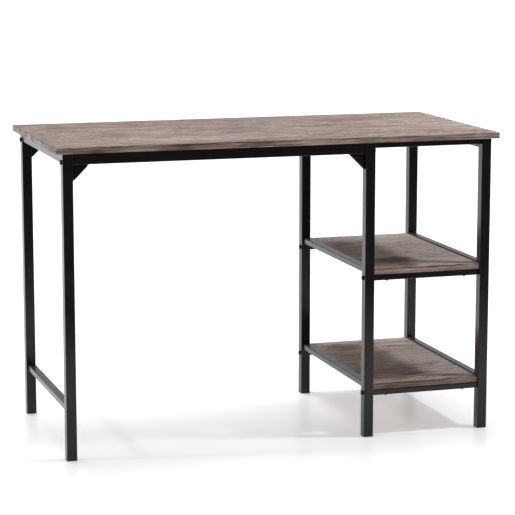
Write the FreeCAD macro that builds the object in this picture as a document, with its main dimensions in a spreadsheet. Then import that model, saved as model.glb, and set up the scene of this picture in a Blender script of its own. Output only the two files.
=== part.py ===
"""Writing desk: steel tube frame, wood-print desktop and a bay with two open shelves.

Millimetres. X runs along the desk's width with the shelf bay at +X, the front is -Y and up is +Z.
The origin is on the floor, under the centre of the desktop.
"""
import FreeCAD, Part
import os
import Sketcher
from FreeCAD import Rotation, Vector

DIMENSIONS = {
    "desk_width": 1130,
    "desk_depth": 540,
    "desk_height": 760,
    "board_thickness": 15,
    "edge_band": 2,
    "band_round": 1.5,
    "desktop_corner": 4,
    "side_overhang": 18,
    "front_overhang": 12,
    "shelf_bay_clear": 284,
    "upper_shelf_top": 428,
    "lower_shelf_top": 135,
    "shelf_side_gap": 0.4,
    "leg_size": 25,
    "leg_corner": 1.5,
    "tube_wall": 1.2,
    "thin_rail": 15,
    "long_rail_height": 28,
    "rail_corner": 2,
    "rail_inset": 6,
    "top_side_rail_width": 23.5,
    "top_side_rail_height": 25,
    "side_rail_width": 20,
    "side_rail_rise": 3.5,
    "lower_tie_top": 132,
    "gusset_leg": 40,
    "gusset_tip": 1,
    "gusset_gap": 4.5,
    "gusset_plate": 5,
    "gusset_panel": 12,
    "gusset_round": 1.2,
    "foot_height": 3,
    "foot_stem": 15,
    "foot_clearance": 0.1,
    "foot_edge": 1,
    "bolt_head": 11.5,
    "bolt_head_height": 4,
    "bolt_shank": 6,
    "bolt_length": 35,
    "bolt_drop_long": 21.5,
    "socket_flats": 4,
    "socket_depth": 2.2,
    "end_block_length": 12,
    "screw_head": 8,
    "screw_head_height": 2.4,
    "screw_shank": 4,
    "screw_bite": 10,
    "cross_length": 4.6,
    "cross_width": 1.2,
    "access_hole": 9,
    "hole_clearance": 0.1,
    "shelf_screw_inset": 38,
    "long_screw_inset": 90,
}

doc = FreeCAD.newDocument("WritingDesk")
sheet = doc.addObject("Spreadsheet::Sheet", "Dimensions")
for row, (alias, size) in enumerate(DIMENSIONS.items(), start=1):
    sheet.set(f"A{row}", alias)
    sheet.set(f"B{row}", str(size))
    sheet.setAlias(f"B{row}", alias)
doc.recompute()

TINY = 1e-6
exported = []


def bound(formula):
    """The formula with each dimension's name pointing at its cell in the sheet."""
    words = []
    for word in str(formula).replace("(", " ( ").replace(")", " ) ").split():
        words.append(f"Dimensions.{word}" if word in DIMENSIONS else word)
    return " ".join(words)


def bind(feature, path, formula):
    feature.setExpression(path, bound(formula))


# Places that several pieces share, as formulas of the driving dimensions.
RIGHT_X = "( desk_width / 2 - side_overhang - leg_size / 2 )"
LEFT_X = f"( - {RIGHT_X} )"
MIDDLE_X = f"( {RIGHT_X} - leg_size - shelf_bay_clear )"
BACK_Y = "( desk_depth / 2 - front_overhang - leg_size / 2 )"
FRONT_Y = f"( - {BACK_Y} )"
RAIL_SET = "( rail_inset + thin_rail / 2 - leg_size / 2 )"
BACK_RAIL_Y = f"( {BACK_Y} - {RAIL_SET} )"
FRONT_RAIL_Y = f"( {FRONT_Y} + {RAIL_SET} )"
KNEE_X = f"( ( {LEFT_X} + {MIDDLE_X} ) / 2 )"
BAY_X = f"( ( {RIGHT_X} + {MIDDLE_X} ) / 2 )"
KNEE_CLEAR = f"( {MIDDLE_X} - {LEFT_X} - leg_size )"
SIDE_CLEAR = f"( {BACK_Y} * 2 - leg_size )"
FRAME_TOP = "( desk_height - board_thickness )"
SHELF_WIDTH = "( shelf_bay_clear - shelf_side_gap * 2 )"
SHELF_DEPTH = f"( {BACK_Y} * 2 + leg_size - rail_inset * 2 - edge_band * 2 )"
SHELF_TOPS = {"upper": "upper_shelf_top", "lower": "lower_shelf_top"}
SIDES = {"front": (FRONT_Y, FRONT_RAIL_Y), "back": (BACK_Y, BACK_RAIL_Y)}


def new_body(label):
    body = doc.addObject("PartDesign::Body", label)
    body.Label = label
    return body


def place(piece, x=0, y=0, z=0, turn=None):
    if turn:
        piece.Placement.Rotation = turn
    bind(piece, "Placement.Base.x", x)
    bind(piece, "Placement.Base.y", y)
    bind(piece, "Placement.Base.z", z)


def export(piece):
    exported.append(piece)
    return piece


def new_sketch(body, plane, u=0, v=0, lift=0):
    """A sketch on one of the body's own planes, its origin moved to (u, v) and along the normal."""
    sketch = body.newObject("Sketcher::SketchObject", f"{body.Name}_sketch")
    support = [item for item in body.Origin.OriginFeatures if item.Role == plane][0]
    sketch.AttachmentSupport = [(support, "")]
    sketch.MapMode = "FlatFace"
    bind(sketch, "AttachmentOffset.Base.x", u)
    bind(sketch, "AttachmentOffset.Base.y", v)
    bind(sketch, "AttachmentOffset.Base.z", lift)
    return sketch


def constrain(sketch, formula, *constraint):
    """Adds a dimensional constraint and binds it to a formula."""
    index = sketch.addConstraint(Sketcher.Constraint(*constraint))
    bind(sketch, f"Constraints[{index}]", formula)


def add_rounded_rectangle(sketch, width, height, radius):
    """A rounded rectangle centred on the sketch's origin; the sizes are formulas."""
    start_x, start_y, start_r = 10, 8, 1
    first = sketch.GeometryCount
    right, up = Vector(start_x, 0, 0), Vector(0, start_y, 0)
    inner_right, inner_up = Vector(start_x - start_r, 0, 0), Vector(0, start_y - start_r, 0)
    sketch.addGeometry(Part.LineSegment(up - inner_right, up + inner_right))
    sketch.addGeometry(Part.LineSegment(right + inner_up, right - inner_up))
    sketch.addGeometry(Part.LineSegment(inner_right - up, -inner_right - up))
    sketch.addGeometry(Part.LineSegment(-right - inner_up, -right + inner_up))
    corners = [(1, 1, 0), (1, -1, 270), (-1, -1, 180), (-1, 1, 90)]
    for sign_x, sign_y, angle in corners:
        centre = inner_right * sign_x + inner_up * sign_y
        circle = Part.Circle(centre, Vector(0, 0, 1), start_r)
        start = FreeCAD.Units.parseQuantity(f"{angle} deg").getValueAs("rad").Value
        end = FreeCAD.Units.parseQuantity(f"{angle + 90} deg").getValueAs("rad").Value
        sketch.addGeometry(Part.ArcOfCircle(circle, start, end))
    top, side_right, bottom, side_left = range(first, first + 4)
    arcs = range(first + 4, first + 8)
    joins = [
        (top, 2, arcs[0], 2), (arcs[0], 1, side_right, 1),
        (side_right, 2, arcs[1], 2), (arcs[1], 1, bottom, 1),
        (bottom, 2, arcs[2], 2), (arcs[2], 1, side_left, 1),
        (side_left, 2, arcs[3], 2), (arcs[3], 1, top, 1),
    ]
    for join in joins:
        sketch.addConstraint(Sketcher.Constraint("Tangent", *join))
    for level, upright in ((top, side_right), (bottom, side_left)):
        sketch.addConstraint(Sketcher.Constraint("Horizontal", level))
        sketch.addConstraint(Sketcher.Constraint("Vertical", upright))
    for arc in arcs[1:]:
        sketch.addConstraint(Sketcher.Constraint("Equal", arcs[0], arc))
    sketch.addConstraint(Sketcher.Constraint("Symmetric", arcs[0], 3, arcs[2], 3, -1, 1))
    constrain(sketch, radius, "Radius", arcs[0], start_r)
    constrain(sketch, width, "DistanceX", side_left, 1, side_right, 1, start_x * 2)
    constrain(sketch, height, "DistanceY", bottom, 1, top, 1, start_y * 2)


def add_circle(sketch, diameter):
    circle = sketch.addGeometry(Part.Circle(Vector(0, 0, 0), Vector(0, 0, 1), 1))
    sketch.addConstraint(Sketcher.Constraint("Coincident", circle, 3, -1, 1))
    constrain(sketch, diameter, "Diameter", circle, 2)


def add_outline(sketch, points):
    """A closed outline through points, each coordinate a formula that is zero or positive."""
    count = len(points)
    guess = [Vector(evaluate(u), evaluate(v), 0) for u, v in points]
    for index in range(count):
        sketch.addGeometry(Part.LineSegment(guess[index], guess[(index + 1) % count]))
    for index in range(count):
        sketch.addConstraint(Sketcher.Constraint("Coincident", index, 2, (index + 1) % count, 1))
    for index, (u, v) in enumerate(points):
        for formula, kind, axis in ((u, "DistanceX", -2), (v, "DistanceY", -1)):
            if formula == "0":
                sketch.addConstraint(Sketcher.Constraint("PointOnObject", index, 1, axis))
            else:
                constrain(sketch, formula, kind, -1, 1, index, 1, evaluate(formula))


def evaluate(formula):
    """The formula's value now, used only to start a sketch near its solution."""
    return float(sheet.evalExpression(bound(formula).replace("Dimensions.", "")))


def pad(body, sketch, length, symmetric=False, backwards=False):
    feature = body.newObject("PartDesign::Pad", f"{body.Name}_pad")
    feature.Profile = sketch
    feature.SideType = "Symmetric" if symmetric else "One side"
    feature.Reversed = backwards
    bind(feature, "Length", length)
    body.Tip = feature


def pocket(body, sketch, depth=None, backwards=False):
    """A pocket right through both ways, or to a depth; backwards cuts along the plane's normal."""
    feature = body.newObject("PartDesign::Pocket", f"{body.Name}_pocket")
    feature.Profile = sketch
    feature.Reversed = backwards
    if depth is None:
        feature.Type = "ThroughAll"
        feature.SideType = "Symmetric"
    else:
        bind(feature, "Length", depth)
    body.Tip = feature


def drill(body, plane, u, v, diameter, depth=None, backwards=False, lift=0):
    sketch = new_sketch(body, plane, u, v, lift)
    add_circle(sketch, diameter)
    pocket(body, sketch, depth, backwards)


def fillet(body, radius, choose):
    """Rounds the edges of the body's tip that the test picks."""
    doc.recompute()
    base = body.Tip
    names = [f"Edge{n}" for n, edge in enumerate(base.Shape.Edges, start=1) if choose(edge)]
    feature = body.newObject("PartDesign::Fillet", f"{body.Name}_fillet")
    feature.Base = (base, names)
    bind(feature, "Radius", radius)
    body.Tip = feature


def tube(label, plane, width, height, length, corner="rail_corner"):
    """A hollow tube, centred on its origin, running along the normal of the plane."""
    body = new_body(label)
    sketch = new_sketch(body, plane)
    add_rounded_rectangle(sketch, width, height, corner)
    inner = [f"( {size} - tube_wall * 2 )" for size in (width, height)]
    add_rounded_rectangle(sketch, *inner, f"( {corner} - tube_wall )")
    pad(body, sketch, length, symmetric=True)
    return body


BOLT_HOLE = "( bolt_shank + hole_clearance * 2 )"
SCREW_HOLE = "( screw_shank + hole_clearance * 2 )"
LONG_BOLT_Z = f"( {FRAME_TOP} - bolt_drop_long )"
SHORT_BOLT_Z = f"( {FRAME_TOP} - thin_rail / 2 )"
SHELF_BOLT_Z = {name: f"( {top} - board_thickness - thin_rail / 2 )" for name, top in SHELF_TOPS.items()}


def make_leg(frame, side, x, bolt_heights):
    """A square tube leg with a cross hole for each bolt that passes along X."""
    leg_y, rail_y = SIDES[side]
    body = new_body(f"leg_{frame}_{side}")
    sketch = new_sketch(body, "XY_Plane")
    add_rounded_rectangle(sketch, "leg_size", "leg_size", "leg_corner")
    bore = "( leg_size - tube_wall * 2 )"
    add_rounded_rectangle(sketch, bore, bore, "( leg_corner - tube_wall )")
    pad(body, sketch, f"{FRAME_TOP} - foot_height")
    for height in bolt_heights:
        drill(body, "YZ_Plane", f"{rail_y} - {leg_y}", f"{height} - foot_height", BOLT_HOLE)
    place(body, x, leg_y, "foot_height")
    export(body)


def make_foot(frame, side, x):
    """A plastic cap: a flange under the tube and a stem inside it."""
    body = new_body(f"foot_cap_{frame}_{side}")
    flange = new_sketch(body, "XY_Plane")
    add_rounded_rectangle(flange, "leg_size", "leg_size", "leg_corner")
    pad(body, flange, "foot_height")
    fillet(body, "foot_edge", lambda edge: edge.BoundBox.ZMax < TINY)
    stem = new_sketch(body, "XY_Plane", lift="foot_height")
    stem_size = "( leg_size - tube_wall * 2 - foot_clearance * 2 )"
    add_rounded_rectangle(stem, stem_size, stem_size, "( leg_corner - tube_wall )")
    pad(body, stem, "foot_stem")
    place(body, x, SIDES[side][0])
    export(body)


def make_side_rail(label, x, top, width, height, towards):
    """A tube between a front and a back leg, flush with the legs on the side it faces."""
    body = tube(label, "XZ_Plane", width, height, SIDE_CLEAR)
    place(body, f"{x} + {towards} * ( leg_size - {width} ) / 2", 0, f"{top} - {height} / 2")
    export(body)


def make_cross_rail(label, x, y, top, height, length, screw_places, through=False):
    """A tube between two frames, drilled for the screws that go up into the board above.

    The top wall has a screw hole. The bottom wall has a wider hole that the screw's head goes in
    through, or, where the screw's head stays outside, another screw hole.
    """
    body = tube(label, "YZ_Plane", "thin_rail", height, length)
    for offset in screw_places:
        drill(body, "XY_Plane", offset, 0, SCREW_HOLE)
        if not through:
            drill(body, "XY_Plane", offset, 0, "access_hole", f"{height} / 2")
    place(body, x, y, f"{top} - {height} / 2")
    export(body)


def make_board(label, width, depth, x, top, pilots, corner):
    """A board with blind pilot holes in its underside."""
    body = new_body(label)
    sketch = new_sketch(body, "XY_Plane")
    add_rounded_rectangle(sketch, width, depth, corner)
    pad(body, sketch, "board_thickness")
    for u, v in pilots:
        drill(body, "XY_Plane", u, v, SCREW_HOLE, "( screw_bite + hole_clearance )", backwards=True)
    place(body, x, 0, f"{top} - board_thickness")
    export(body)


def make_desktop_band():
    """One strip of edging wrapped round the desktop, its outer edges rounded top and bottom."""
    body = new_body("desktop_edge_band")
    sketch = new_sketch(body, "XY_Plane")
    add_rounded_rectangle(sketch, "desk_width", "desk_depth", "desktop_corner")
    inner = [f"( {size} - edge_band * 2 )" for size in ("desk_width", "desk_depth")]
    add_rounded_rectangle(sketch, *inner, "( desktop_corner - edge_band )")
    pad(body, sketch, "board_thickness")
    half_width, half_depth = DIMENSIONS["desk_width"] / 2, DIMENSIONS["desk_depth"] / 2

    def on_outer_rim(edge):
        box = edge.BoundBox
        reach_x, reach_y = max(box.XMax, -box.XMin), max(box.YMax, -box.YMin)
        outside = reach_x > half_width - TINY or reach_y > half_depth - TINY
        return box.ZLength < TINY and outside

    fillet(body, "band_round", on_outer_rim)
    place(body, 0, 0, FRAME_TOP)
    export(body)


def make_shelf_band(shelf, side):
    """A strip of edging on a shelf's front or back edge, rounded on the side that shows."""
    body = new_body(f"{shelf}_shelf_{side}_edge")
    sketch = new_sketch(body, "XY_Plane")
    far = [(SHELF_WIDTH, "0"), (SHELF_WIDTH, "edge_band")]
    add_outline(sketch, [("0", "0"), *far, ("0", "edge_band")])
    pad(body, sketch, "board_thickness")
    outer_y = DIMENSIONS["edge_band"] if side == "back" else 0

    def on_outer_rim(edge):
        box = edge.BoundBox
        return box.YLength + box.ZLength < TINY and abs(box.YMin - outer_y) < TINY

    fillet(body, "band_round", on_outer_rim)
    y = f"{SHELF_DEPTH} / 2" if side == "back" else f"- {SHELF_DEPTH} / 2 - edge_band"
    place(body, f"{BAY_X} - {SHELF_WIDTH} / 2", y, f"{SHELF_TOPS[shelf]} - board_thickness")
    export(body)


def make_gusset(frame, side, corner_x, turn):
    """A corner bracket: a plate that fills the corner, and a thicker panel set off from both tubes."""
    body = new_body(f"gusset_{frame}_{side}")
    tip = [("gusset_leg", "0"), ("gusset_leg", "gusset_tip"), ("gusset_tip", "gusset_leg")]
    reach = "( gusset_leg + gusset_tip - gusset_gap )"
    outlines = {
        "gusset_plate": [("0", "0"), *tip, ("0", "gusset_leg")],
        "gusset_panel": [("gusset_gap", "gusset_gap"), (reach, "gusset_gap"), ("gusset_gap", reach)],
    }
    for thickness, outline in outlines.items():
        sketch = new_sketch(body, "XZ_Plane")
        add_outline(sketch, outline)
        pad(body, sketch, thickness, symmetric=True)
    face_y, gap = DIMENSIONS["gusset_panel"] / 2, DIMENSIONS["gusset_gap"]

    def beside_gap(edge):
        box = edge.BoundBox
        on_face = box.YLength < TINY and abs(abs(box.YMin) - face_y) < TINY
        level = box.ZLength < TINY and abs(box.ZMin - gap) < TINY
        upright = box.XLength < TINY and abs(box.XMin - gap) < TINY
        return on_face and (level or upright)

    fillet(body, "gusset_round", beside_gap)
    place(body, corner_x, SIDES[side][1], f"{FRAME_TOP} - long_rail_height", turn)
    export(body)


def make_bolt_pattern():
    """A button-head bolt along Z, its seat at the origin, its head up and its shank down."""
    body = new_body("bolt_pattern")
    head = new_sketch(body, "XY_Plane")
    add_circle(head, "bolt_head")
    pad(body, head, "bolt_head_height")
    crown = DIMENSIONS["bolt_head_height"] - TINY
    fillet(body, "bolt_head_height / 2", lambda edge: edge.BoundBox.ZMin > crown)
    socket = new_sketch(body, "XY_Plane", lift="bolt_head_height")
    radius = DIMENSIONS["socket_flats"] / 2 / 0.75 ** 0.5
    points = [Vector(radius, 0, 0)]
    for step in range(1, 6):
        points.append(Rotation(Vector(0, 0, 1), 60 * step).multVec(points[0]))
    for step in range(6):
        socket.addGeometry(Part.LineSegment(points[step], points[(step + 1) % 6]))
        socket.addConstraint(Sketcher.Constraint("Block", step))
    pocket(body, socket, "socket_depth")
    shank = new_sketch(body, "XY_Plane")
    add_circle(shank, "bolt_shank")
    pad(body, shank, "bolt_length", backwards=True)
    return body


def make_screw_pattern(name, length):
    """A pan-head screw along Z, its seat at the origin, its head down and its shank up."""
    body = new_body(name)
    head = new_sketch(body, "XY_Plane")
    add_circle(head, "screw_head")
    pad(body, head, "screw_head_height", backwards=True)
    low = -DIMENSIONS["screw_head_height"] + TINY
    fillet(body, "screw_head_height / 2", lambda edge: edge.BoundBox.ZMax < low)
    for width, height in (("cross_length", "cross_width"), ("cross_width", "cross_length")):
        slot = new_sketch(body, "XY_Plane", lift="( - screw_head_height )")
        add_rounded_rectangle(slot, width, height, "( cross_width / 6 )")
        pocket(body, slot, "screw_head_height / 2", backwards=True)
    shank = new_sketch(body, "XY_Plane")
    add_circle(shank, "screw_shank")
    pad(body, shank, length)
    return body


def make_block_pattern(name, height):
    """A block, threaded through along X, that closes a rail's end; its end face is at the origin."""
    body = new_body(name)
    sketch = new_sketch(body, "YZ_Plane")
    inner = "( thin_rail - tube_wall * 2 )"
    add_rounded_rectangle(sketch, inner, height, "( rail_corner - tube_wall )")
    add_circle(sketch, BOLT_HOLE)
    pad(body, sketch, "end_block_length", symmetric=True)
    return body


def make_group(label, pattern, places):
    """One sub-part of like pieces: a link to the pattern at each place."""
    links = []
    for number, (x, y, z, turn) in enumerate(places, start=1):
        link = doc.addObject("App::Link", f"{label}_{number}")
        link.LinkedObject = pattern
        place(link, x, y, z, turn)
        links.append(link)
    group = doc.addObject("Part::Compound", label)
    group.Label = label
    group.Links = links
    export(group)


# Turns that carry a bolt's head to the left or the right face of a leg.
HEAD_LEFT = Rotation(Vector(0, 1, 0), -90)
HEAD_RIGHT = Rotation(Vector(0, 1, 0), 90)
UPRIGHT = Rotation()
BELOW_RIGHTWARD = Rotation(Vector(1, 0, 0), 180)
BELOW_LEFTWARD = Rotation(Vector(0, 1, 0), 180)

SHELF_HEIGHTS = list(SHELF_BOLT_Z.values())
FRAMES = {
    "left": (LEFT_X, [LONG_BOLT_Z]),
    "middle": (MIDDLE_X, [LONG_BOLT_Z, SHORT_BOLT_Z, *SHELF_HEIGHTS]),
    "right": (RIGHT_X, [SHORT_BOLT_Z, *SHELF_HEIGHTS]),
}
for frame, (x, heights) in FRAMES.items():
    for side in SIDES:
        make_leg(frame, side, x, heights)
        make_foot(frame, side, x)

# Side rails, each flush with its legs on the side towards the space it borders.
TOWARDS = {"left": "1", "middle": "1", "right": "( - 1 )"}
for frame, (x, _) in FRAMES.items():
    top_rail = ("top_side_rail_width", "top_side_rail_height")
    make_side_rail(f"top_side_rail_{frame}", x, FRAME_TOP, *top_rail, TOWARDS[frame])
make_side_rail("lower_side_rail_left", LEFT_X, "lower_tie_top", "side_rail_width", "thin_rail", "1")
for frame in ("middle", "right"):
    for shelf, top in SHELF_TOPS.items():
        rail_top = f"( {top} + side_rail_rise )"
        label = f"{shelf}_shelf_side_rail_{frame}"
        make_side_rail(label, FRAMES[frame][0], rail_top, "side_rail_width", "thin_rail", TOWARDS[frame])

# Cross rails and the screws that hold the boards down on them.
LONG_SCREWS = [f"( {sign} ( {KNEE_CLEAR} / 2 - long_screw_inset ) )" for sign in ("-", "0 +")]
LONG_SCREWS.insert(1, "0")
SHORT_SCREWS = [f"( {sign} ( shelf_bay_clear / 2 - shelf_screw_inset ) )" for sign in ("-", "0 +")]
for side, (_, rail_y) in SIDES.items():
    long_size = ("long_rail_height", KNEE_CLEAR, LONG_SCREWS)
    make_cross_rail(f"long_top_rail_{side}", KNEE_X, rail_y, FRAME_TOP, *long_size)
    short_size = ("thin_rail", "shelf_bay_clear", SHORT_SCREWS)
    make_cross_rail(f"short_top_rail_{side}", BAY_X, rail_y, FRAME_TOP, *short_size)
    for shelf, top in SHELF_TOPS.items():
        under = f"( {top} - board_thickness )"
        make_cross_rail(f"{shelf}_shelf_rail_{side}", BAY_X, rail_y, under, *short_size, through=True)
    make_gusset("left", side, f"{LEFT_X} + leg_size / 2", BELOW_RIGHTWARD)
    make_gusset("middle", side, f"{MIDDLE_X} - leg_size / 2", BELOW_LEFTWARD)

# Boards and their edging.
top_pilots = []
shelf_pilots = []
for _, rail_y in SIDES.values():
    top_pilots += [(f"{KNEE_X} + {offset}", rail_y) for offset in LONG_SCREWS]
    top_pilots += [(f"{BAY_X} + {offset}", rail_y) for offset in SHORT_SCREWS]
    shelf_pilots += [(offset, rail_y) for offset in SHORT_SCREWS]
core = [f"( {size} - edge_band * 2 )" for size in ("desk_width", "desk_depth")]
make_board("desktop_board", *core, 0, "desk_height", top_pilots, "( desktop_corner - edge_band )")
make_desktop_band()
for shelf, top in SHELF_TOPS.items():
    make_board(f"{shelf}_shelf_board", SHELF_WIDTH, SHELF_DEPTH, BAY_X, top, shelf_pilots, "edge_band / 4")
    for side in SIDES:
        make_shelf_band(shelf, side)

# Fasteners: bolts through the legs into threaded blocks in the rails' ends.
bolt = make_bolt_pattern()
thin_block = make_block_pattern("thin_block_pattern", "( thin_rail - tube_wall * 2 )")
LOW_BLOCK = "( ( long_rail_height - tube_wall - bolt_drop_long ) * 2 )"
low_block = make_block_pattern("low_block_pattern", LOW_BLOCK)
half_leg = "leg_size / 2"
half_block = "( ( leg_size + end_block_length ) / 2 )"
rail_ys = [rail_y for _, rail_y in SIDES.values()]


def bolt_row(x, heights, head):
    face = f"{x} - {half_leg}" if head == HEAD_LEFT else f"{x} + {half_leg}"
    return [(face, y, z, head) for y in rail_ys for z in heights]


def block_row(x, side, heights):
    return [(f"{x} {side} {half_block}", y, z, UPRIGHT) for y in rail_ys for z in heights]


make_group("long_rail_bolts_left", bolt, bolt_row(LEFT_X, [LONG_BOLT_Z], HEAD_LEFT))
make_group("long_rail_bolts_middle", bolt, bolt_row(MIDDLE_X, [LONG_BOLT_Z], HEAD_RIGHT))
make_group("short_rail_bolts_middle", bolt, bolt_row(MIDDLE_X, [SHORT_BOLT_Z], HEAD_LEFT))
make_group("short_rail_bolts_right", bolt, bolt_row(RIGHT_X, [SHORT_BOLT_Z], HEAD_RIGHT))
make_group("shelf_bolts_middle", bolt, bolt_row(MIDDLE_X, SHELF_HEIGHTS, HEAD_LEFT))
make_group("shelf_bolts_right", bolt, bolt_row(RIGHT_X, SHELF_HEIGHTS, HEAD_RIGHT))
long_blocks = block_row(LEFT_X, "+", [LONG_BOLT_Z]) + block_row(MIDDLE_X, "-", [LONG_BOLT_Z])
make_group("long_rail_end_blocks", low_block, long_blocks)
short_blocks = block_row(MIDDLE_X, "+", [SHORT_BOLT_Z]) + block_row(RIGHT_X, "-", [SHORT_BOLT_Z])
make_group("short_rail_end_blocks", thin_block, short_blocks)
shelf_blocks = block_row(MIDDLE_X, "+", SHELF_HEIGHTS) + block_row(RIGHT_X, "-", SHELF_HEIGHTS)
make_group("shelf_rail_end_blocks", thin_block, shelf_blocks)

# Wood screws: inside the top rails, and up through the shelf rails from below.
short_screw = make_screw_pattern("short_screw_pattern", "tube_wall + screw_bite")
long_screw = make_screw_pattern("long_screw_pattern", "thin_rail + screw_bite")
seat = f"{FRAME_TOP} - tube_wall"
knee_screws = [(f"{KNEE_X} + {offset}", y, seat, UPRIGHT) for y in rail_ys for offset in LONG_SCREWS]
bay_screws = [(f"{BAY_X} + {offset}", y, seat, UPRIGHT) for y in rail_ys for offset in SHORT_SCREWS]
make_group("desktop_screws_knee_space", short_screw, knee_screws)
make_group("desktop_screws_shelf_bay", short_screw, bay_screws)
for shelf, top in SHELF_TOPS.items():
    under = f"{top} - board_thickness - thin_rail"
    screws = [(f"{BAY_X} + {offset}", y, under, UPRIGHT) for y in rail_ys for offset in SHORT_SCREWS]
    make_group(f"{shelf}_shelf_screws", long_screw, screws)

doc.recompute()
for item in doc.Objects:
    if "Invalid" in item.State or "Error" in item.State:
        raise RuntimeError(f"{item.Label} failed: {item.State}")
os.makedirs("parts", exist_ok=True)
for piece in exported:
    if piece.Shape.isNull() or not piece.Shape.isValid():
        raise RuntimeError(f"{piece.Label} has no valid shape")
    piece.Shape.exportStep(f"parts/{piece.Label}.step")
    box = piece.Shape.BoundBox
    print(piece.Label, len(piece.Shape.Solids), round(piece.Shape.Volume), box)
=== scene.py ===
"""The looks of the writing desk: materials, light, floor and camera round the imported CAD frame.

Metres, in the CAD's own frame: X along the desk's width, the front at -Y, up at +Z.
"""

import math

import bpy
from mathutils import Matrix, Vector


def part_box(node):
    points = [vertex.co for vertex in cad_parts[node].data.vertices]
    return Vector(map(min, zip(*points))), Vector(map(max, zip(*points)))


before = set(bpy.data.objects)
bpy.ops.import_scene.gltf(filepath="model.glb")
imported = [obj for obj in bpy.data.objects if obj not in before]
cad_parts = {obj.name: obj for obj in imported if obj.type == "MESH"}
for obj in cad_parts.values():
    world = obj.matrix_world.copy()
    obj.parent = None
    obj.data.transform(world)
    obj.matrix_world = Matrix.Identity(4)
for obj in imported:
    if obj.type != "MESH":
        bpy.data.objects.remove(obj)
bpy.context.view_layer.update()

MM = 0.001


class Graph:
    """A material's node tree, with one short call for each kind of node that is used."""

    def __init__(self, name):
        self.material = bpy.data.materials.new(name)
        self.material.use_nodes = True
        self.tree = self.material.node_tree
        self.shader = self.tree.nodes["Principled BSDF"]
        self.point = self.add("ShaderNodeTexCoord").outputs["Object"]

    def add(self, kind, **settings):
        node = self.tree.nodes.new(kind)
        for key, value in settings.items():
            setattr(node, key, value)
        return node

    def plug(self, socket, value):
        """Links a socket's source, or sets a plain value."""
        if isinstance(value, bpy.types.NodeSocket):
            self.tree.links.new(value, socket)
        elif socket.type == "RGBA":
            socket.default_value = (*value, 1.0)
        else:
            socket.default_value = value

    def set(self, name, value):
        self.plug(self.shader.inputs[name], value)

    def math(self, operation, a, b=0.0, clamp=False):
        node = self.add("ShaderNodeMath", operation=operation, use_clamp=clamp)
        self.plug(node.inputs[0], a)
        self.plug(node.inputs[1], b)
        return node.outputs[0]

    def vector(self, operation, a, b):
        node = self.add("ShaderNodeVectorMath", operation=operation)
        self.plug(node.inputs[0], a)
        self.plug(node.inputs[1], b)
        return node.outputs[0]

    def split(self, vector):
        node = self.add("ShaderNodeSeparateXYZ")
        self.plug(node.inputs[0], vector)
        return node.outputs

    def join(self, x, y, z):
        node = self.add("ShaderNodeCombineXYZ")
        for socket, value in zip(node.inputs, (x, y, z)):
            self.plug(socket, value)
        return node.outputs[0]

    def noise(self, vector, scale=1.0, detail=4.0, roughness=0.55, distortion=0.0):
        node = self.add("ShaderNodeTexNoise")
        settings = {"Vector": vector, "Scale": scale, "Detail": detail}
        settings |= {"Roughness": roughness, "Distortion": distortion}
        for name, value in settings.items():
            self.plug(node.inputs[name], value)
        return node.outputs[0]

    def grain(self, point, cells, **settings):
        """Noise from 0 to 1 with so many cells in a metre along X, Y and Z."""
        return self.noise(self.vector("MULTIPLY", point, cells), **settings)

    def swing(self, noise, weight):
        """Noise moved to swing evenly about zero."""
        return self.math("MULTIPLY", self.math("SUBTRACT", noise, 0.5), weight)

    def remap(self, value, low, high, to_low=0.0, to_high=1.0):
        """Stretches low..high smoothly to to_low..to_high and holds it there outside."""
        node = self.add("ShaderNodeMapRange", interpolation_type="SMOOTHSTEP")
        for socket, number in zip(node.inputs, (value, low, high, to_low, to_high)):
            self.plug(socket, number)
        return node.outputs[0]

    def mix(self, factor, a, b):
        node = self.add("ShaderNodeMix", data_type="RGBA")
        self.plug(node.inputs[0], factor)
        self.plug(node.inputs[6], a)
        self.plug(node.inputs[7], b)
        return node.outputs[2]

    def ramp(self, value, stops):
        node = self.add("ShaderNodeValToRGB")
        elements = node.color_ramp.elements
        while len(elements) < len(stops):
            elements.new(0.5)
        for element, (position, colour) in zip(elements, stops):
            element.position = position
            element.color = (*colour, 1.0)
        self.plug(node.inputs[0], value)
        return node.outputs[0]

    def bump(self, height, distance, strength):
        node = self.add("ShaderNodeBump")
        self.plug(node.inputs["Height"], height)
        node.inputs["Distance"].default_value = distance
        node.inputs["Strength"].default_value = strength
        self.set("Normal", node.outputs[0])


# Wood print: greige oak. Each colour belongs to a tone, from the darkest streak to the palest.
WOOD_TONES = [
    (0.00, (0.046, 0.030, 0.024)),
    (0.28, (0.112, 0.075, 0.060)),
    (0.52, (0.197, 0.148, 0.129)),
    (0.78, (0.303, 0.247, 0.225)),
    (1.00, (0.388, 0.332, 0.311)),
]
EDGE_TONES = [
    (0.00, (0.060, 0.040, 0.033)),
    (0.35, (0.150, 0.100, 0.083)),
    (0.60, (0.225, 0.158, 0.134)),
    (1.00, (0.340, 0.262, 0.232)),
]
# Near-black for knots, and for the painted shade just under the edging's top.
KNOT_AND_SHADE = (0.036, 0.030, 0.028)
# Umber browns the pores; on the shelves its marks are painted shade.
UMBER = (0.150, 0.080, 0.054)

# The print's layers, from the broadest: cells in a metre, weight, and the noise's settings.
PRINT_LAYERS = {
    "bands": ((1.5, 8.0, 3.0), 0.9, {"detail": 3.0}),
    "mottle": ((21.0, 62.0, 9.0), 1.6, {"detail": 6.0, "roughness": 0.72}),
    "streak": ((10.0, 170.0, 12.0), 1.7, {"detail": 5.0, "roughness": 0.68}),
    "fine": ((22.0, 620.0, 30.0), 1.2, {"detail": 4.0, "roughness": 0.65}),
    "speckle": ((110.0, 190.0, 30.0), 1.7, {"detail": 2.0}),
}
# The grain bends slowly across the board, and closed rings run through it.
BEND_CELLS = (2.4, 5.0, 2.0)
BEND_WIDTH = 0.060
FLAME_CELLS = (1.3, 11.0, 4.0)
FLAME_RINGS = 22.0
RING_SHARPNESS = 3.0
RING_DEPTH = -0.40
PORE_CELLS = (60.0, 1500.0, 40.0)
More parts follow.
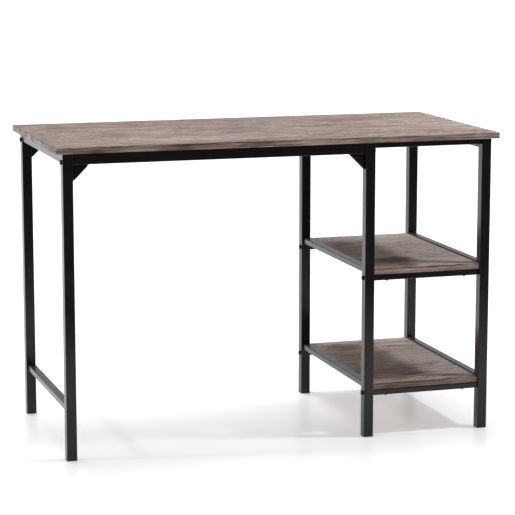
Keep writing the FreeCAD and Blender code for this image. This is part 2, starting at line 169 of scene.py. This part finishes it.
# A mark's outline is broken up by noise, and it fades out a little past its own size.
MARK_EDGE_CELLS = (16.0, 70.0, 10.0)
MARK_RAGGEDNESS = 3.0
MARK_REACH = 1.5
LAMINATE_SPECULAR = 0.12

# The printed edging, in the same units.
EDGE_SWAY_CELLS = (22.0, 22.0, 60.0)
EDGE_SWAY = 0.012
EDGE_PATCH_CELLS = (6.0, 30.0, 24.0)
EDGE_PATCH_WEIGHT = 2.3
EDGE_STREAK_CELLS = (7.0, 7.0, 300.0)
EDGE_STREAK_WEIGHT = 2.4
EDGE_FINE_CELLS = (70.0, 70.0, 1500.0)
EDGE_FINE_WEIGHT = 0.5
EDGE_TONE = 0.48
EDGE_SPECULAR = 0.3

COAT_BLACK = ((0.0060, 0.0050, 0.0050), (0.0085, 0.0074, 0.0074))
# Top faces' grey: partly a dusty film, partly painted sheen of the bright studio reflected at a
# grazing angle.
COAT_DUST_AND_SHEEN = (0.22, 0.215, 0.21)
COAT_SPECULAR = 0.36


def spots(graph, marks, wobble):
    """How strongly a board's marks show, whether printed, painted shade or painted light; each is
    (x, y, half length, half width, depth).
    """
    x, y, _ = graph.split(graph.point)
    total = 0.0
    for centre_x, centre_y, half_length, half_width, depth in marks:
        along = graph.math("DIVIDE", graph.math("SUBTRACT", x, centre_x), half_length)
        across = graph.math("DIVIDE", graph.math("SUBTRACT", y, centre_y), half_width)
        squares = (graph.math("POWER", side, 2.0) for side in (along, across))
        ragged = graph.math("ADD", graph.math("ADD", *squares), wobble)
        total = graph.math("MAXIMUM", total, graph.remap(ragged, 0.0, MARK_REACH, depth, 0.0))
    return total


def wood_print(name, shift, lift, contrast, umber, knots, pale):
    """Laminate printed with oak grain that runs along X, with knots and umber and pale marks; the
    shelves' umber marks are painted shade and their pale marks painted light.
    """
    graph = Graph(name)
    moved = graph.vector("ADD", graph.point, shift)
    sway = graph.swing(graph.grain(moved, BEND_CELLS, detail=3.0), BEND_WIDTH)
    point = graph.vector("ADD", moved, graph.join(0.0, sway, 0.0))
    layers = {
        layer: graph.swing(graph.grain(point, cells, **settings), weight * contrast)
        for layer, (cells, weight, settings) in PRINT_LAYERS.items()
    }
    flame = graph.grain(point, FLAME_CELLS, detail=2.0, distortion=1.0)
    rings = graph.math("PINGPONG", graph.math("MULTIPLY", flame, FLAME_RINGS), 1.0)
    lines = graph.math("POWER", rings, RING_SHARPNESS)
    lines = graph.math("MULTIPLY", lines, RING_DEPTH * contrast)
    tone = lift
    for part in (*layers.values(), lines):
        tone = graph.math("ADD", tone, part)
    ragged = graph.grain(graph.point, MARK_EDGE_CELLS, detail=5.0)
    wobble = graph.swing(ragged, MARK_RAGGEDNESS)
    # Pale marks lift the tone; on the shelves they are painted light where the right lamp falls.
    tone = graph.math("ADD", tone, spots(graph, pale, wobble))
    colour = graph.ramp(tone, WOOD_TONES)
    streaky = graph.math("ADD", 1.0, graph.math("MULTIPLY", layers["streak"], 2.0))
    # Umber marks brown and darken the wood: print streaks on the desktop, painted shade on the
    # shelves' shaded left parts. Knots are print.
    for marks, mark_colour in ((umber, UMBER), (knots, KNOT_AND_SHADE)):
        cover = graph.math("MULTIPLY", spots(graph, marks, wobble), streaky, clamp=True)
        colour = graph.mix(cover, colour, mark_colour)
    pores = graph.remap(graph.grain(point, PORE_CELLS, detail=1.0), 0.60, 0.70, 0.0, 0.5)
    graph.set("Base Color", graph.mix(pores, colour, UMBER))
    graph.set("Roughness", graph.remap(layers["fine"], -0.1, 0.1, 0.66, 0.56))
    graph.shader.inputs["Specular IOR Level"].default_value = LAMINATE_SPECULAR
    relief = graph.math("SUBTRACT", layers["fine"], graph.math("MULTIPLY", pores, 0.8))
    graph.bump(relief, 0.10 * MM, 0.5)
    return graph.material


def edge_print(name, top):
    """Printed edging: streaks run along each edge, and a dark strip just under the top is painted
    shade of the band's rounded top edge.
    """
    graph = Graph(name)
    sway = graph.swing(graph.grain(graph.point, EDGE_SWAY_CELLS, detail=3.0), EDGE_SWAY)
    bent = graph.vector("ADD", graph.point, graph.join(0.0, 0.0, sway))
    patch = graph.grain(graph.point, EDGE_PATCH_CELLS, detail=2.0)
    patch = graph.swing(patch, EDGE_PATCH_WEIGHT)
    streak_noise = graph.grain(bent, EDGE_STREAK_CELLS, detail=4.0, roughness=0.6)
    streak = graph.swing(streak_noise, EDGE_STREAK_WEIGHT)
    fine = graph.grain(graph.point, EDGE_FINE_CELLS, detail=3.0)
    fine = graph.swing(fine, EDGE_FINE_WEIGHT)
    tone = EDGE_TONE
    for part in (patch, streak, fine):
        tone = graph.math("ADD", tone, part)
    height = graph.split(bent)[2]
    # Painted shade: a ragged dark strip a few millimetres below the top, where the band rounds
    # over.
    rise = graph.remap(height, top - 4.2 * MM, top - 2.4 * MM)
    fall = graph.remap(height, top - 1.6 * MM, top - 0.4 * MM, 0.95, 0.0)
    ragged = graph.remap(streak_noise, 0.40, 0.62, 1.0, 0.35)
    painted_top_shade = graph.math("MULTIPLY", graph.math("MULTIPLY", rise, fall), ragged)
    graph.set("Base Color", graph.mix(painted_top_shade, graph.ramp(tone, EDGE_TONES), KNOT_AND_SHADE))
    graph.set("Roughness", graph.remap(fine, -0.1, 0.1, 0.60, 0.48))
    graph.shader.inputs["Specular IOR Level"].default_value = EDGE_SPECULAR
    graph.bump(fine, 0.08 * MM, 0.5)
    return graph.material


def powder_coat():
    """Satin black powder coat: fine orange peel, uneven gloss, and top faces lightened by a dusty
    film and a painted sheen.
    """
    graph = Graph("powder_coat")
    peel = graph.noise(graph.point, scale=1100.0, detail=2.0)
    broad = graph.noise(graph.point, scale=14.0, detail=3.0)
    specks = graph.noise(graph.point, scale=420.0, detail=3.0)
    normal = graph.add("ShaderNodeNewGeometry").outputs["Normal"]
    # Upward faces are lightened with specks: a dusty film and a painted sheen.
    level = graph.remap(graph.split(normal)[2], 0.80, 0.98)
    dust_and_sheen = graph.math("MULTIPLY", level, graph.remap(specks, 0.35, 0.75, 0.05, 0.30))
    graph.set("Base Color", graph.mix(dust_and_sheen, graph.mix(broad, *COAT_BLACK), COAT_DUST_AND_SHEEN))
    rough = graph.remap(broad, 0.3, 0.7, 0.17, 0.25)
    graph.set("Roughness", graph.math("ADD", rough, graph.math("MULTIPLY", dust_and_sheen, 0.4)))
    graph.shader.inputs["Specular IOR Level"].default_value = COAT_SPECULAR
    graph.bump(peel, 0.05 * MM, 0.35)
    return graph.material


def foot_plastic():
    """Black moulded plastic with a fine spark-eroded texture."""
    graph = Graph("foot_plastic")
    spark = graph.noise(graph.point, scale=1900.0, detail=3.0)
    scuff = graph.grain(graph.point, (40.0, 40.0, 220.0), detail=4.0)
    worn = graph.remap(scuff, 0.58, 0.74, 0.0, 0.5)
    graph.set("Base Color", graph.mix(worn, (0.012, 0.012, 0.012), (0.045, 0.044, 0.043)))
    graph.set("Roughness", graph.remap(spark, 0.3, 0.7, 0.50, 0.66))
    graph.bump(spark, 0.06 * MM, 0.6)
    return graph.material


def black_oxide(name, bare):
    """Blackened steel, a little brighter where it has rubbed."""
    graph = Graph(name)
    rub = graph.noise(graph.point, scale=260.0, detail=5.0, roughness=0.65)
    worn = graph.remap(rub, 0.55, 0.72, 0.0, 0.55)
    graph.set("Base Color", graph.mix(worn, (0.020, 0.019, 0.019), bare))
    graph.shader.inputs["Metallic"].default_value = 0.85
    graph.set("Roughness", graph.remap(rub, 0.3, 0.7, 0.46, 0.30))
    graph.bump(rub, 0.04 * MM, 0.4)
    return graph.material


def plain_steel():
    """Turned mild steel with fine tool marks along X."""
    graph = Graph("plain_steel")
    marks = graph.grain(graph.point, (90.0, 2400.0, 2400.0), detail=3.0)
    graph.set("Base Color", graph.mix(marks, (0.30, 0.30, 0.31), (0.48, 0.48, 0.49)))
    graph.shader.inputs["Metallic"].default_value = 1.0
    graph.set("Roughness", graph.remap(marks, 0.3, 0.7, 0.38, 0.26))
    graph.bump(marks, 0.02 * MM, 0.4)
    return graph.material


# How each board's print differs: where it is cut from the pattern, how pale it is, how strong its
# grain is, and its marks, which are x, y, half length, half width and depth. On the shelves
# the umber marks are painted shade and the pale marks are painted light.
BOARD_PRINTS = {
    "desktop": {
        "shift": (0.0, 0.0, 0.0),
        "lift": 0.65,
        "contrast": 0.62,
        "umber": [(-0.300, 0.140, 0.320, 0.026, 0.50), (0.0, 0.235, 0.520, 0.050, 0.20)],
        "knots": [
            (-0.365, -0.035, 0.040, 0.080, 0.22), (-0.035, -0.015, 0.075, 0.070, 0.26),
            (0.395, 0.035, 0.045, 0.032, 0.30), (0.285, -0.050, 0.100, 0.022, 0.24),
            (0.420, -0.095, 0.040, 0.022, 0.26), (0.330, 0.160, 0.130, 0.060, 0.22),
        ],
        "pale": [(-0.300, -0.190, 0.300, 0.080, 0.10), (0.480, -0.040, 0.100, 0.160, 0.06)],
    },
    "upper_shelf": {
        "shift": (7.3, 2.9, 0.0),
        "lift": 0.96,
        "contrast": 1.0,
        # Umber marks on the shaded left of the shelf: painted shade.
        "umber": [
            (0.280, 0.020, 0.095, 0.120, 0.42), (0.290, -0.170, 0.100, 0.080, 0.70),
            (0.285, 0.125, 0.045, 0.045, 0.45),
        ],
        "knots": [
            (0.334, -0.142, 0.055, 0.050, 0.97), (0.340, -0.215, 0.026, 0.034, 0.50),
            (0.285, 0.125, 0.035, 0.035, 0.20),
        ],
        # Pale marks on the right of the shelf, where the right lamp falls: painted light.
        "pale": [(0.460, 0.100, 0.160, 0.220, 0.14), (0.440, -0.200, 0.110, 0.080, 0.24)],
    },
    "lower_shelf": {
        "shift": (5.3, 4.1, 0.0),
        "lift": 0.87,
        "contrast": 1.0,
        # Umber marks on the shaded left of the shelf: painted shade.
        "umber": [
            (0.290, 0.060, 0.110, 0.100, 0.55), (0.310, -0.120, 0.130, 0.120, 0.62),
            (0.312, 0.172, 0.060, 0.048, 0.75),
        ],
        "knots": [
            (0.315, 0.172, 0.035, 0.022, 0.35), (0.350, -0.010, 0.030, 0.030, 0.30),
            (0.362, -0.162, 0.035, 0.022, 0.55),
        ],
        # Pale marks on the right of the shelf, where the right lamp falls: painted light.
        "pale": [(0.460, 0.120, 0.140, 0.200, 0.16)],
    },
}

# Each look belongs to the pieces whose name holds the word; the frame's steel takes the rest.
LOOKS = {}
for board, settings in BOARD_PRINTS.items():
    LOOKS[board + "_board"] = wood_print(board + "_print", **settings)
for board, word in (
    ("desktop", "desktop_edge_band"),
    ("upper_shelf", "upper_shelf_front_edge"),
    ("lower_shelf", "lower_shelf_front_edge"),
):
    LOOKS[word] = edge_print(board + "_edging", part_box(board + "_board")[1].z)
for shelf in ("upper_shelf", "lower_shelf"):
    LOOKS[shelf + "_back_edge"] = LOOKS[shelf + "_front_edge"]
LOOKS["foot_cap"] = foot_plastic()
LOOKS["bolts"] = black_oxide("black_bolt_steel", (0.16, 0.155, 0.15))
LOOKS["screws"] = black_oxide("black_screw_steel", (0.12, 0.115, 0.11))
LOOKS["blocks"] = plain_steel()
coat = powder_coat()

for node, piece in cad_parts.items():
    look = next((LOOKS[word] for word in LOOKS if word in node), coat)
    for slot in piece.material_slots:
        slot.material = look


# The set: the floor's half width in metres, the white world's strength, the sensor in millimetres.
FLOOR_HALF_WIDTH = 45.0
WORLD_FRONT = 0.40
WORLD_BACK = 0.58
SENSOR_WIDTH = 36.0


def place(name, data):
    thing = bpy.data.objects.new(name, data)
    bpy.context.collection.objects.link(thing)
    return thing


def sheet(name, corners):
    """A flat sheet with four corners."""
    mesh = bpy.data.meshes.new(name)
    mesh.from_pydata(corners, [], [(0, 1, 2, 3)])
    return place(name, mesh)


def heading(azimuth, height):
    """The way out from the desk; azimuth counts from the front towards the right, in degrees."""
    turn, rise = math.radians(azimuth), math.radians(height)
    level = math.cos(rise)
    return Vector((math.sin(turn) * level, -math.cos(turn) * level, math.sin(rise)))


def turn_to(thing, direction, axis):
    """Turns one of the object's axes along a direction, with its own Y held upright."""
    thing.rotation_mode = "QUATERNION"
    thing.rotation_quaternion = direction.to_track_quat(axis, "Y")


def make_floor():
    """A wide, pale floor that fills the view behind the desk and glows with painted light, more so
    far away.
    """
    half = FLOOR_HALF_WIDTH
    corners = [(-half, -half, 0.0), (half, -half, 0.0), (half, half, 0.0), (-half, half, 0.0)]
    floor = sheet("floor", corners)
    graph = Graph("pale_floor")
    haze = graph.noise(graph.point, scale=3.0, detail=3.0)
    graph.set("Base Color", graph.mix(haze, (0.91, 0.91, 0.91), (0.93, 0.93, 0.93)))
    graph.shader.inputs["Roughness"].default_value = 0.30
    graph.shader.inputs["Emission Color"].default_value = (1.0, 1.0, 1.0, 1.0)
    x, y, _ = graph.split(graph.point)
    reach = graph.math("ADD", graph.math("POWER", x, 2.0), graph.math("POWER", y, 2.0))
    # Painted light: the floor glows faintly near the desk and more far away.
    graph.set("Emission Strength", graph.remap(reach, 1.0, 9.0, 0.25, 0.60))
    floor.data.materials.append(graph.material)


def make_world():
    """A white studio: even from above and behind, dimmer towards the front."""
    world = bpy.data.worlds.new("studio")
    bpy.context.scene.world = world
    world.use_nodes = True
    nodes, links = world.node_tree.nodes, world.node_tree.links
    background = nodes["Background"]
    direction = nodes.new("ShaderNodeTexCoord").outputs["Generated"]
    split = nodes.new("ShaderNodeSeparateXYZ")
    links.new(direction, split.inputs[0])
    fall = nodes.new("ShaderNodeMapRange")
    fall.interpolation_type = "SMOOTHSTEP"
    links.new(split.outputs[1], fall.inputs[0])
    for socket, value in zip(fall.inputs[1:5], (-0.8, 0.3, WORLD_FRONT, WORLD_BACK)):
        socket.default_value = value
    links.new(fall.outputs[0], background.inputs["Strength"])
    background.inputs["Color"].default_value = (1.0, 1.0, 1.0, 1.0)


def make_sun(name, strength, spread, azimuth, height):
    """A soft sun that shines on the desk from an azimuth and height."""
    light = bpy.data.lights.new(name, "SUN")
    light.energy = strength
    light.angle = math.radians(spread)
    turn_to(place(name, light), heading(azimuth, height), "Z")


def make_panel(name, centre, aim, size, power, glossy):
    """A soft box that faces a point and shows in reflections only when glossy."""
    light = bpy.data.lights.new(name, "AREA")
    light.shape = "RECTANGLE"
    light.size, light.size_y = size
    light.energy = power
    lamp = place(name, light)
    lamp.visible_glossy = glossy
    lamp.location = centre
    turn_to(lamp, Vector(centre) - Vector(aim), "Z")


def make_flag(x_range, y, height):
    """A dark card before the desk that only reflections see, so that black steel stays black."""
    low, high = x_range
    corners = [(low, y, 0.0), (high, y, 0.0), (high, y, height), (low, y, height)]
    flag = sheet("flag", corners)
    for rays in ("camera", "diffuse", "shadow", "transmission", "volume_scatter"):
        setattr(flag, "visible_" + rays, False)
    graph = Graph("dark_card")
    felt = graph.noise(graph.point, scale=30.0, detail=3.0)
    graph.set("Base Color", graph.mix(felt, (0.010, 0.010, 0.010), (0.020, 0.020, 0.020)))
    graph.shader.inputs["Roughness"].default_value = 0.9
    flag.data.materials.append(graph.material)


def make_camera(azimuth, elevation, distance, aim, lens):
    data = bpy.data.cameras.new("camera")
    data.sensor_width = SENSOR_WIDTH
    data.lens = lens
    camera = place("camera", data)
    out = heading(azimuth, elevation)
    camera.location = Vector(aim) + out * distance
    turn_to(camera, -out, "-Z")
    bpy.context.scene.camera = camera


make_floor()
make_world()
make_flag(x_range=(-4.0, 3.0), y=-1.5, height=1.5)
make_panel(
    "right_lamp", centre=(1.30, -0.57, 2.0), aim=(0.30, -0.10, 0.2),
    size=(0.18, 0.18), power=17.5, glossy=False,
)
make_sun("left_sun", strength=0.46, spread=5.0, azimuth=-100.0, height=36.0)
make_sun("top_sun", strength=0.50, spread=12.0, azimuth=180.0, height=82.0)
make_panel(
    "back_panel", centre=(-0.30, 1.0, 2.8), aim=(0.0, 0.0, 0.2),
    size=(1.2, 1.2), power=38.0, glossy=False,
)
make_panel(
    "left_panel", centre=(-2.6, 2.6, 0.9), aim=(-0.55, 0.0, 0.4),
    size=(2.2, 1.8), power=22.0, glossy=True,
)
make_camera(azimuth=-17.47, elevation=9.8, distance=5.314, aim=(0.014, 0.0, 0.427), lens=144.6)
bpy.context.scene.view_settings.view_transform = "Standard"
